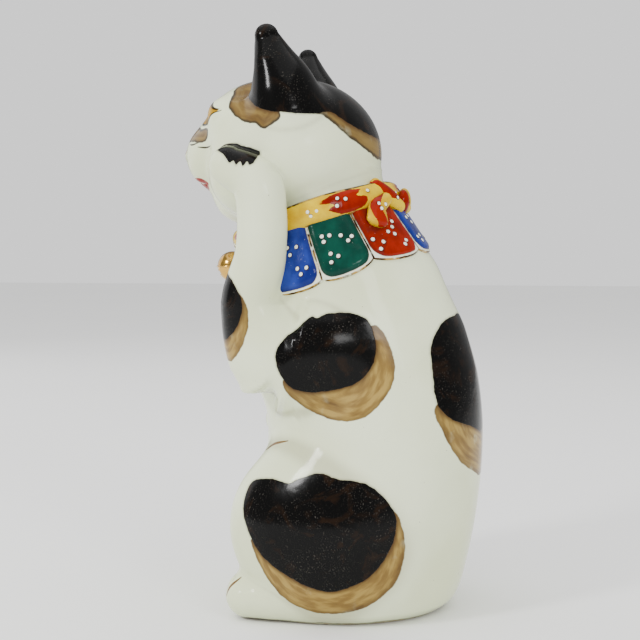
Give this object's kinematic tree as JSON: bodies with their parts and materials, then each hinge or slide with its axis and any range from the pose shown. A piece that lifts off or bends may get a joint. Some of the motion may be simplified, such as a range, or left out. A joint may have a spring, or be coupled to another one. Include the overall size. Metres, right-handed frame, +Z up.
{
  "type": "beckoning cat figurine",
  "caption": "Glazed porcelain souvenir cat sitting upright with its left paw raised, a padded collar with a bow and bell, and a scalloped bib.",
  "frame": {"origin": "on the flat underside of the base slab, where it stands, under the torso's axis at its foot", "axes": "+Z up through the figure, -Y the way the cat looks, +X the cat's left side, where the paw is raised"},
  "size_m": [0.1257, 0.1436, 0.271],
  "materials": {
    "white_glaze": "glossy clear glaze over white porcelain",
    "black_enamel": "glossy black overglaze enamel",
    "biscuit": "unglazed matt porcelain",
    "yellow_enamel": "glossy yellow overglaze enamel",
    "red_enamel": "glossy iron-red overglaze enamel",
    "blue_enamel": "glossy blue overglaze enamel",
    "green_enamel": "glossy green overglaze enamel",
    "gold": "gilded porcelain"
  },
  "bodies": {
    "root": {"torso_shell": "white_glaze", "base_slab": "biscuit", "head_shell": "white_glaze", "left_haunch": "white_glaze", "right_haunch": "white_glaze", "left_hind_foot": "white_glaze", "right_hind_foot": "white_glaze", "left_ear": "black_enamel", "right_ear": "black_enamel", "raised_left_arm": "white_glaze", "lowered_right_arm": "white_glaze", "tail": "white_glaze", "collar_band": "yellow_enamel", "bow_knot": "yellow_enamel", "bow_left_loop": "red_enamel", "bow_right_loop": "red_enamel", "bow_left_end": "yellow_enamel", "bow_right_end": "yellow_enamel", "bell": "gold", "bib_panel_1": "green_enamel", "bib_panel_2": "red_enamel", "bib_panel_3": "blue_enamel", "bib_panel_4": "red_enamel", "bib_panel_5": "green_enamel", "bib_panel_6": "blue_enamel", "bib_panel_7": "green_enamel", "bib_panel_8": "red_enamel", "bib_panel_9": "green_enamel", "bib_panel_10": "blue_enamel"}
  },
  "joints": []
}
